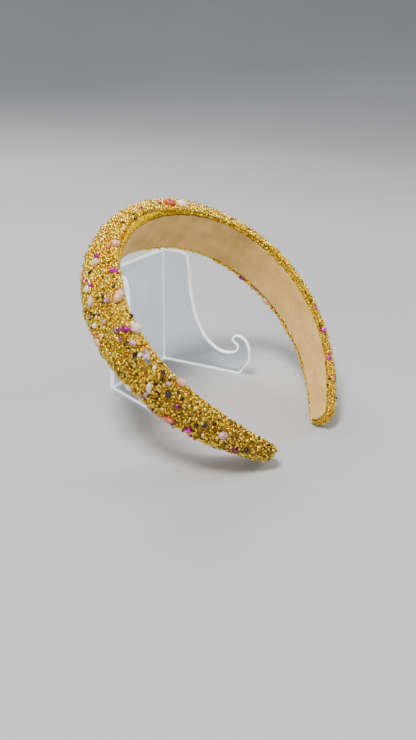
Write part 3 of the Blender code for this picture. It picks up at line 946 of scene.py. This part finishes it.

# %% [markdown]
# ## Small coloured chips
#
# Among the gold there are small chips in the colours of the large stones. Those that the photo
# shows are listed, with their distance along the band from the crown and the angle round it from
# its upper edge. On the sides that it doesn't show, a few are scattered.

# %% Places of the small coloured chips
# Distance along the band in mm, degrees round it and size in mm
ACCENTS = {
    "pink": (
        (-56.0, 112, 3.2), (-86.0, 70, 2.9), (-134.8, 137, 2.2), (-165.5, 98, 2.0),
        (-52.5, 108, 3.6), (-12.8, 46, 3.8), (17.4, 11, 3.2), (22.8, 16, 2.8), (82.0, 178, 4.2),
        (88.0, 178, 3.4),
    ),
    "magenta": (
        (-62.2, 86, 2.6), (-67.0, 76, 3.0), (-31.5, 78, 2.5), (-13.6, 24, 2.3), (-1.2, 19, 2.8),
        (46.6, 14, 2.2), (59.0, 11, 2.2), (119.8, 3, 2.1), (164.5, 30, 2.2),
    ),
    "coral": (
        (-71.5, 122, 3.0), (-86.0, 101, 1.9), (-37.3, 87, 2.5), (150.2, 8, 2.2), (52.0, 178, 2.6),
    ),
    "plum": (
        (-78.0, 97, 3.1), (-81.0, 77, 2.3), (-96.5, 57, 2.9), (-182.0, 84, 1.9),
    ),
    "black": (
        (-60.2, 74, 2.3), (-73.0, 18, 2.0), (-73.8, 108, 1.8), (-75.8, 50, 2.2), (-78.5, 54, 1.8),
        (-80.2, 90, 2.0), (-99.2, 49, 1.6), (-119.5, 24, 2.4), (-130.4, 34, 2.0), (-146.0, 76, 2.5),
        (-149.0, 61, 2.7), (-152.5, 97, 1.8), (-23.0, 10, 2.2),
    ),
    "pearl": (
        (-83.2, 94, 3.0), (-89.0, 90, 2.0), (-93.4, 10, 2.2), (-107.2, 42, 2.4), (-115.5, 35, 2.4),
        (-137.0, 131, 2.0), (-150.8, 88, 1.7), (-43.8, 48, 2.0), (-46.0, 93, 2.2), (10.7, 11, 2.3),
    ),
}
print("coloured chips seen in the photo:", sum(len(rows) for rows in ACCENTS.values()))

# %% Scatter on the hidden sides
SCATTERED = {"pink": 34, "magenta": 16, "coral": 14, "plum": 14, "black": 28, "pearl": 18}
RIGHT_HIDDEN, RIGHT_HIDDEN_FROM = (-0.050, 0.186), 60
LEFT_HIDDEN, LEFT_HIDDEN_FROM = (-0.186, -0.090), 118
HIDDEN_TO = 168
SCATTERED_SIZES = (0.0017, 0.0034)
ACCENT_SEED = 29
ACCENT_GROW = 0.0017
ACCENT_MARGIN = 0.0008

accent_rng = np.random.default_rng(ACCENT_SEED)
listed = [
    (colour, along / 1000, math.radians(angle), size_mm / 1000)
    for colour, rows in ACCENTS.items() for along, angle, size_mm in rows
]
for colour, count in SCATTERED.items():
    for _ in range(count):
        right, left = accent_rng.uniform(*RIGHT_HIDDEN), accent_rng.uniform(*LEFT_HIDDEN)
        along = accent_rng.choice([right, left])
        hidden_from = RIGHT_HIDDEN_FROM if along > RIGHT_HIDDEN[0] else LEFT_HIDDEN_FROM
        angle = math.radians(accent_rng.uniform(hidden_from, HIDDEN_TO))
        listed.append((colour, along, angle, accent_rng.uniform(*SCATTERED_SIZES)))
accent_colour, accent_along, accent_angle, accent_size = map(np.array, zip(*listed))
accent_frames = dome_frame(accent_along, accent_angle, ACCENT_GROW)
accent_keep = clear_of(accent_frames[0], seats.values(), ACCENT_MARGIN)
print("coloured chips:", int(accent_keep.sum()), "of", len(listed))

# %% [markdown]
# ## Tones of gold
#
# The splinters are not all one gold. Most are bright yellow, some are pale and flash almost
# white, some are amber, and a few are brown or nearly black. The pale ones stand a little higher
# and their colour is partly a painted highlight. The brown and dark ones sit lower and are partly
# painted shade in the gaps. The brown and dark ones grow more common towards the left end, and a
# quarter as much so towards the right one, which is painted shade on the arms. Chips are smaller
# near both ends and on both edges. Each tone is one joined mesh with a finish of its own.

# %% Tones of the crushed crystal
# Name, share at the crown, share at the left end, lift, and the colours that noise mixes
# Pale chips are partly a painted highlight; brown and dark chips, set lower, are partly painted
# shade in the gaps.
TONES = (
    ("pale_gold", 0.24, 0.26, 0.00025, (1.0, 0.74, 0.05), (1.0, 0.88, 0.20)),
    ("bright_gold", 0.38, 0.26, 0.00010, (0.98, 0.60, 0.008), (1.0, 0.76, 0.03)),
    ("amber", 0.30, 0.13, -0.00005, (0.68, 0.33, 0.008), (0.93, 0.53, 0.020)),
    ("brown", 0.07, 0.29, -0.00030, (0.14, 0.065, 0.008), (0.34, 0.18, 0.020)),
    ("dark", 0.01, 0.06, -0.00040, (0.030, 0.018, 0.008), (0.12, 0.065, 0.018)),
)
TONE_SEED = 41
ENDS_START, ENDS_RUN = 0.070, 0.080
RIGHT_SHADE_SHARE = 0.25
CHIP_LENGTH, CHIP_SPREAD = 0.00212, 0.26
CHIP_LIMITS = (0.0011, 0.0036)
CHIP_WIDTHS, CHIP_HEIGHTS = (0.42, 0.82), (0.36, 0.60)
END_CHIP_SCALE = 0.84
UPPER_EDGE_SCALE, LOWER_EDGE_SCALE = 0.76, 0.96
ACCENT_SEAT = 0.8

accent_seats = zip(*accent_frames, accent_size * ACCENT_SEAT, accent_size * ACCENT_SEAT)
kept_seats = [seat for seat, kept in zip(accent_seats, accent_keep) if kept]
chosen = stone_clear & clear_of(chip_frames[0], kept_seats)
chip_scale = np.select([chip_edge > 0, chip_edge < 0], [UPPER_EDGE_SCALE, LOWER_EDGE_SCALE], 1.0)
tone_rng = np.random.default_rng(TONE_SEED)
late = np.clip((np.abs(chip_along) - ENDS_START) / ENDS_RUN, 0.0, 1.0)
chip_scale = chip_scale * (1 - (1 - END_CHIP_SCALE) * late)
# Towards the ends the shares move to brown and dark chips, painted shade; on the right a quarter as
# much.
late = (late * np.where(chip_along > 0, RIGHT_SHADE_SHARE, 1.0))[:, None]
shares = np.array([row[1:3] for row in TONES])
shares = (1 - late) * shares[:, 0] + late * shares[:, 1]
drawn = tone_rng.uniform(0, shares.sum(axis=1))
pick = (np.cumsum(shares, axis=1) < drawn[:, None]).sum(axis=1)
print("chips that keep clear of all stones:", int(chosen.sum()))

# %% One piece for each tone
for number, (name, _, _, lift, low, high) in enumerate(TONES):
    mine = chosen & (pick == number)
    count = int(mine.sum())
    length = tone_rng.lognormal(math.log(CHIP_LENGTH), CHIP_SPREAD, count).clip(*CHIP_LIMITS)
    length = length * chip_scale[mine]
    width = length * tone_rng.uniform(*CHIP_WIDTHS, count)
    height = length * tone_rng.uniform(*CHIP_HEIGHTS, count)
    place, ahead, beside, out = (values[mine] for values in chip_frames)
    points = splinters((place + lift * out, ahead, beside, out), (length, width, height), tone_rng)
    gold = shader(name, roughness=0.2, metallic=0.88)
    blend_colours(gold, noise(gold, scale=620.0, detail=1.0), [(0.35, low), (0.65, high)])
    vary_roughness(gold, noise(gold, scale=900.0, detail=1.0), low=0.12, high=0.36)
    add_chips(name, points, gold, "gold_crystal")
    print(name, count, "chips")

# %% [markdown]
# ## Finishes of the coloured stones
#
# Pink and pearl stones are milky: light goes into them and comes out softly, so they get some
# light scattering below the surface. A pearl one also has a faint painted glow, painted light that
# makes it read brighter. Coral is a little milky too.
# The pinks differ from stone to stone, so there are four: peach, blush, rose and smoke. Magenta,
# plum and wine are backed with foil, so part of their colour shines like metal. Black is duller,
# with hardly any coat. Noise clouds each colour.

# %% Stone finishes
COAT_ROUGHNESS = 0.04
SCATTER_LENGTH = 0.0012
PAINTED_GLOW_COLOUR = (1.0, 0.95, 0.88, 1.0)
# Metallic, roughness, coat, milkiness, clearness, painted glow, and colours at shares of the noise
STONE_FINISHES = {
    "peach": (
        0.0, 0.20, 0.30, 0.10, 0.0, 0.0,
        ((0.36, (0.88, 0.36, 0.20)), (0.64, (0.98, 0.56, 0.38))),
    ),
    "blush": (
        0.0, 0.18, 0.35, 0.10, 0.0, 0.0,
        ((0.36, (0.88, 0.56, 0.46)), (0.64, (1.0, 0.80, 0.70))),
    ),
    "rose": (
        0.0, 0.16, 0.40, 0.05, 0.0, 0.0,
        ((0.36, (0.36, 0.13, 0.13)), (0.50, (0.62, 0.30, 0.28)), (0.64, (0.90, 0.60, 0.54))),
    ),
    "smoke": (
        0.0, 0.16, 0.45, 0.05, 0.10, 0.0,
        ((0.38, (0.28, 0.17, 0.14)), (0.50, (0.50, 0.34, 0.28)), (0.62, (0.82, 0.66, 0.56))),
    ),
    "coral": (
        0.0, 0.16, 0.40, 0.05, 0.0, 0.0,
        ((0.38, (0.62, 0.035, 0.025)), (0.62, (0.90, 0.20, 0.11))),
    ),
    "magenta": (
        0.4, 0.14, 0.15, 0.0, 0.0, 0.0,
        ((0.38, (0.22, 0.001, 0.15)), (0.50, (0.62, 0.006, 0.44)), (0.62, (0.90, 0.03, 0.66))),
    ),
    "plum": (
        0.2, 0.16, 0.30, 0.0, 0.0, 0.0,
        ((0.38, (0.20, 0.045, 0.07)), (0.50, (0.40, 0.14, 0.17)), (0.62, (0.66, 0.36, 0.37))),
    ),
    "wine": (
        0.25, 0.14, 0.30, 0.0, 0.0, 0.0,
        ((0.38, (0.05, 0.004, 0.010)), (0.62, (0.34, 0.030, 0.065))),
    ),
    "black": (
        0.0, 0.22, 0.08, 0.0, 0.0, 0.0,
        ((0.35, (0.008, 0.007, 0.008)), (0.68, (0.04, 0.034, 0.030))),
    ),
    "pearl": (
        0.0, 0.16, 0.40, 0.10, 0.0, 0.28,
        ((0.35, (0.92, 0.80, 0.72)), (0.62, (1.0, 0.97, 0.93))),
    ),
}


def stone_finish(tone):
    """Glossy glass, clouded with the shades of its tone."""
    metallic, rough, coat, milky, clear, painted_glow, shades = STONE_FINISHES[tone]
    material = shader(
        tone + "_glass", rough, metallic,
        Coat_Weight=coat, Coat_Roughness=COAT_ROUGHNESS, Subsurface_Weight=milky,
        Subsurface_Scale=SCATTER_LENGTH, Transmission_Weight=clear,
        Emission_Strength=painted_glow, Emission_Color=PAINTED_GLOW_COLOUR,
    )
    blend_colours(material, noise(material, scale=520.0, detail=2.0), shades)
    return material


def usual_tone(colour):
    return "peach" if colour == "pink" else colour


stone_materials = {tone: stone_finish(tone) for tone in STONE_FINISHES}
print("stone finishes:", ", ".join(stone_materials))

# %% Small coloured chips
ACCENT_SCALES = ((0.95, 1.25), (0.65, 0.9), (0.40, 0.55))
ACCENT_CORNERS, ACCENT_ROUGH, ACCENT_TILT = 6, 0.16, 0.16

for colour in sorted(set(accent_colour)):
    mine = accent_keep & (accent_colour == colour)
    sizes = [accent_size[mine] * accent_rng.uniform(*scale, mine.sum()) for scale in ACCENT_SCALES]
    frames = [values[mine] for values in accent_frames]
    points = splinters(frames, sizes, accent_rng, ACCENT_CORNERS, ACCENT_ROUGH, ACCENT_TILT)
    add_chips(colour, points, stone_materials[usual_tone(colour)], colour + "_crystal")
    print(colour, int(mine.sum()), "small chips")

# %% [markdown]
# ## Cut stones
#
# Each large stone is cut from one block: a girdle, a ring of crown facets that are turned by
# half a step, as on a round brilliant, and a flat table. Pink and coral ones are rough cuts with
# five sides, and pearl ones are worn with six. Magenta and plum ones are cut neatly with eight.
# A black one is a low uneven chunk, a little smaller than its seat.

# %% Cuts
# Corners, unevenness, size against the seat, and the rise and the reach of each ring
CUTS = {
    "rough": (5, 0.15, 1.15, (0.0, 0.20, 0.50, 0.80, 1.0), (0.84, 1.0, 1.02, 0.92, 0.58)),
    "neat": (8, 0.03, 1.15, (0.0, 0.22, 0.46, 0.78, 1.0), (0.84, 1.0, 1.0, 0.80, 0.44)),
    "worn": (6, 0.12, 1.14, (0.0, 0.22, 0.50, 0.82, 1.0), (0.80, 1.0, 1.0, 0.82, 0.44)),
    "chunk": (6, 0.16, 0.90, (0.0, 0.22, 0.46, 0.70, 0.84), (0.84, 1.0, 1.0, 0.84, 0.50)),
}
CUT_OF = {
    "pink": "rough", "coral": "rough", "pearl": "worn",
    "magenta": "neat", "plum": "neat", "black": "chunk",
}
TONE_OF = {
    "02": "wine", "03": "rose", "06": "wine", "10": "rose", "11": "plum", "12": "blush",
    "13": "blush", "14": "smoke", "16": "rose", "17": "blush", "21": "rose", "23": "blush",
    "26": "blush",
}
FIRST_TURNED_RING = 3
CUT_SEED = 5
STONE_TOP, STONE_BASE = 0.0013, -0.0013
print("cuts:", ", ".join(CUTS))


# %% Cut the stones
def cut_stone(seat, cut, rng):
    """Rings of a cut stone in the room. The upper rings are turned by half a step."""
    centre, ahead, beside, out, length, width = seat
    corners, rough, spread, rise, reach = cut
    rise, reach = np.array(rise)[:, None], np.array(reach)[:, None]
    half_step = np.where(np.arange(len(rise)) >= FIRST_TURNED_RING, 0.5, 0.0)[:, None]
    turn = 2 * math.pi * (np.arange(corners) + half_step) / corners
    radius = reach * (1 + rng.uniform(-rough, rough, turn.shape))
    x = radius * np.cos(turn) * length / 2 * spread
    y = radius * np.sin(turn) * width / 2 * spread
    z = np.broadcast_to(STONE_BASE + rise * (STONE_TOP - STONE_BASE), x.shape)
    return centre + x[..., None] * ahead + y[..., None] * beside + z[..., None] * out


def facet_mesh(name, rings):
    """A closed mesh of triangles between rings, with a flat face on top and below."""
    count, corners = rings.shape[:2]
    quads = ring_quads(count, corners)[:, ::-1]
    sides = np.concatenate([quads[:, [0, 1, 2]], quads[:, [0, 2, 3]]])
    top = np.arange(corners) + (count - 1) * corners
    loops = np.concatenate([sides.ravel(), np.arange(corners)[::-1], top])
    counts = np.concatenate([np.full(len(sides), 3), [corners, corners]])
    mesh = mesh_of(name, rings.reshape(-1, 3), loops, counts)
    clean(mesh)
    return mesh


cut_rng = np.random.default_rng(CUT_SEED)
for node, seat in seats.items():
    colour = node.split("_")[0]
    rings = cut_stone(seat, CUTS[CUT_OF[colour]], cut_rng)
    name = "cut_" + node
    tone = TONE_OF.get(node[-2:], usual_tone(colour))
    add_piece(name, facet_mesh(name, rings), stone_materials[tone], colour + "_crystal", node)
print("cut stones:", len(seats))

# %% [markdown]
# ## The easel
#
# The easel is one clear moulding: a back plate, and on each side a wing that flares outwards
# and ends in a hook. A wing is a flat outline, so it is drawn as a flat curve with a thickness
# and a round edge and then made a mesh. The three sheets are joined into one body, because a
# light ray must not meet walls inside clear plastic. No two faces may lie in one plane for that.
# So the wings reach back by half a wall, and the plate ends inside them and stays a tenth of a
# millimetre short of them above and below.

# %% Sizes of the easel
EASEL_HEIGHT = 0.0758
EASEL_WALL = 0.0028
EASEL_BACK = 0.0514
EASEL_PLACE = (-0.0046, 0.0591, 0.0)
EASEL_TURN = 8.6
WING_FLARE = 11.6
SHEET_ROUND = 0.0008
PLATE_INSET = 0.0001
SHEET_MERGE = 1e-6
ROUND_STEPS, CURVE_STEPS = 3, 10
# Distance forward, height and kind of handle of each point
WING_OUTLINE = (
    (-EASEL_WALL / 2, 0.0, "VECTOR"), (-EASEL_WALL / 2, EASEL_HEIGHT, "VECTOR"),
    (0.0124, EASEL_HEIGHT, "VECTOR"), (0.0157, 0.0744, "AUTO"), (0.0173, 0.0702, "AUTO"),
    (0.0192, 0.0515, "AUTO"), (0.0257, 0.0290, "AUTO"), (0.0345, 0.0175, "AUTO"),
    (0.0450, 0.0140, "AUTO"), (0.0516, 0.0178, "AUTO"), (0.0477, 0.0237, "AUTO"),
    (0.0530, 0.0266, "AUTO"), (0.0603, 0.0140, "AUTO"), (0.0540, 0.0, "VECTOR"),
)
easel_turn = Matrix.Translation(EASEL_PLACE) @ rotation(EASEL_TURN, "Z")
print("easel height:", EASEL_HEIGHT)


# %% Sheets of the easel
def finished_mesh(item):
    """The mesh that an object's curve or modifiers give."""
    bpy.context.view_layer.update()
    worked_out = item.evaluated_get(bpy.context.evaluated_depsgraph_get())
    return bpy.data.meshes.new_from_object(worked_out)


def sheet_of(name, outline, place):
    """A flat curve with a thickness and round edges, made a mesh and set in its place."""
    flat = bpy.data.curves.new(name, "CURVE")
    flat.dimensions = "2D"
    flat.fill_mode = "BOTH"
    flat.extrude = EASEL_WALL / 2 - SHEET_ROUND
    flat.bevel_depth = SHEET_ROUND
    flat.bevel_resolution = ROUND_STEPS
    flat.offset = -SHEET_ROUND
    flat.resolution_u = CURVE_STEPS
    path = flat.splines.new("BEZIER")
    path.bezier_points.add(len(outline) - 1)
    path.use_cyclic_u = True
    for point, (forward, height, handles) in zip(path.bezier_points, outline):
        point.co = (forward, height, 0.0)
        point.handle_left_type = point.handle_right_type = handles
    drawn = add_object(name, flat)
    solid = finished_mesh(drawn)
    bpy.data.objects.remove(drawn)
    solid.transform(place)
    clean(solid, SHEET_MERGE)
    return solid


print("a wing has", len(WING_OUTLINE), "points in its outline")

# %% Plate and wings
stand_up = rotation(90, "X")
half_back = EASEL_BACK / 2
plate_top = EASEL_HEIGHT - PLATE_INSET
plate_outline = (
    (-half_back, PLATE_INSET, "VECTOR"),
    (half_back, PLATE_INSET, "VECTOR"),
    (half_back, plate_top, "VECTOR"),
    (-half_back, plate_top, "VECTOR"),
)
plate = sheet_of("plate", plate_outline, easel_turn @ stand_up)
wings = []
for side in (-1, 1):
    beside_plate = easel_turn @ Matrix.Translation((side * half_back, 0.0, 0.0))
    flared = beside_plate @ rotation(side * WING_FLARE - 90, "Z") @ stand_up
    wings.append(sheet_of("wing", WING_OUTLINE, flared))
print("faces of the sheets:", len(plate.polygons), [len(w.polygons) for w in wings])

# %% Join the easel
sheets = [add_object("sheet", mesh) for mesh in (plate, *wings)]
for wing in sheets[1:]:
    joint = sheets[0].modifiers.new("joint", "BOOLEAN")
    joint.operation = "UNION"
    joint.solver = "EXACT"
    joint.object = wing
joined = finished_mesh(sheets[0])
for sheet in sheets:
    bpy.data.objects.remove(sheet)
clean(joined, SHEET_MERGE)
print("easel:", len(joined.polygons), "faces, open edges:", open_edges(joined))

# %% [markdown]
# Clear plastic shows mostly at its edges, where light that has run through the sheet comes
# out. The renderer can't carry that light at this size, so the edges are a second finish of
# painted light: paler and softer, with a painted glow of its own. A face belongs to an edge if it
# isn't parallel to any of the three sheets. Edges are shaded smoothly, and the sheets stay flat.

# %% Clear plastic
EDGE_LIMIT = 0.985
SHARP_ANGLE = 35
PLASTIC_IOR = 1.49

sheet_facings = [
    (easel_turn @ rotation(turn, "Z")).to_3x3().col[1]
    for turn in (0.0, -WING_FLARE - 90, WING_FLARE - 90)
]
facing = read_vectors(joined.polygons, "normal")
on_rim = np.abs(facing @ np.array(sheet_facings).T).max(axis=1) < EDGE_LIMIT
joined.shade_smooth()
joined.set_sharp_from_angle(angle=math.radians(SHARP_ANGLE))
joined.polygons.foreach_set("use_smooth", on_rim)

plastic = shader(
    "clear_plastic", roughness=0.03, IOR=PLASTIC_IOR, Transmission_Weight=1.0,
    Base_Color=(0.80, 0.87, 0.92, 1.0),
)
# Edge finish of painted light: white, softer and with a glow.
painted_edge_light = shader(
    "clear_plastic_painted_edge_light", roughness=0.28, IOR=PLASTIC_IOR, Transmission_Weight=0.12,
    Base_Color=(1.0, 1.0, 1.0, 1.0), Emission_Strength=0.90, Emission_Color=(0.95, 0.98, 1.0, 1.0),
)
add_piece("clear_easel", joined, plastic, "clear_plastic", "display_easel")
joined.materials.append(painted_edge_light)
joined.polygons.foreach_set("material_index", on_rim.astype(np.int32))
print("edge faces:", int(on_rim.sum()), "of", len(joined.polygons))

# %% [markdown]
# ## Floor and light
#
# A plain pale floor that curves up far behind gives a soft backdrop from every side. Its faces
# look up, and it lies a fifth of a millimetre low, so that it doesn't touch the easel's foot.
# Large soft lamps make broad highlights, and the smaller key lamp makes the chips sparkle.

# %% Floor and backdrop
FLOOR_RADIUS = 1.0
SWEEP_RADIUS = 1.6
WALL_HEIGHT = 0.4
FLAT_RINGS = (0.0, 0.4, 0.8)
FLOOR_DROP = 0.0002
SWEEP_POINTS, FLOOR_SIDES = 13, 96

bend = np.linspace(0.0, math.pi / 2, SWEEP_POINTS)
swept_r = FLOOR_RADIUS + SWEEP_RADIUS * np.sin(bend)
swept_z = SWEEP_RADIUS * (1 - np.cos(bend))
profile_r = np.concatenate([FLAT_RINGS, swept_r, [FLOOR_RADIUS + SWEEP_RADIUS]])
profile_z = np.concatenate([np.zeros(len(FLAT_RINGS)), swept_z, [SWEEP_RADIUS + WALL_HEIGHT]])
floor_turn = np.linspace(0.0, 2 * math.pi, FLOOR_SIDES + 1)[:-1]
floor_grid = np.stack([
    profile_r[:, None] * np.cos(floor_turn),
    profile_r[:, None] * np.sin(floor_turn),
    profile_z[:, None] - FLOOR_DROP + 0 * floor_turn,
], axis=-1)
floor_mesh = grid_mesh("floor", floor_grid, step=-1)
floor_mesh.shade_smooth()
paper = shader("floor_paper", roughness=0.7)
blend_colours(paper, noise(paper, scale=3.0, detail=2.0), [
    (0.3, (0.50, 0.51, 0.53)),
    (0.7, (0.54, 0.55, 0.57)),
])
floor_mesh.materials.append(paper)
floor = add_object("floor", floor_mesh)
print("floor faces:", len(floor_mesh.polygons))

# %% Lamps
# Name, place, size in metres, power in watts and colour
LAMPS = (
    ("key", (-0.35, 0.05, 1.05), 0.30, 13.0, (1.0, 0.98, 0.94)),
    ("fill", (-0.70, -0.75, 0.55), 0.6, 2.5, (1.0, 0.98, 0.95)),
    ("side", (0.85, -0.45, 0.65), 0.5, 5.2, (1.0, 0.97, 0.92)),
    ("back", (0.35, 0.85, 0.75), 0.5, 6.0, (1.0, 0.98, 0.95)),
)
AIM = (0.0, 0.0, 0.05)
SKY_COLOUR = (0.90, 0.91, 0.94, 1.0)
SKY_STRENGTH = 0.37


def add_lamp(name, place, size, power, tone):
    """A square soft lamp that looks at the headband."""
    light = bpy.data.lights.new(name, "AREA")
    light.size = size
    light.energy = power
    light.color = tone
    lamp = add_object(name, light)
    lamp.location = place
    away = np.array(place) - np.array(AIM)
    lean = math.acos(away[2] / np.linalg.norm(away))
    lamp.rotation_euler = (lean, 0.0, math.atan2(away[1], away[0]) + math.pi / 2)


for row in LAMPS:
    add_lamp(*row)
world = bpy.data.worlds.new("studio")
bpy.context.scene.world = world
world.use_nodes = True
set_sockets(world.node_tree.nodes["Background"], {"Color": SKY_COLOUR, "Strength": SKY_STRENGTH})
print("lamps:", ", ".join(row[0] for row in LAMPS))
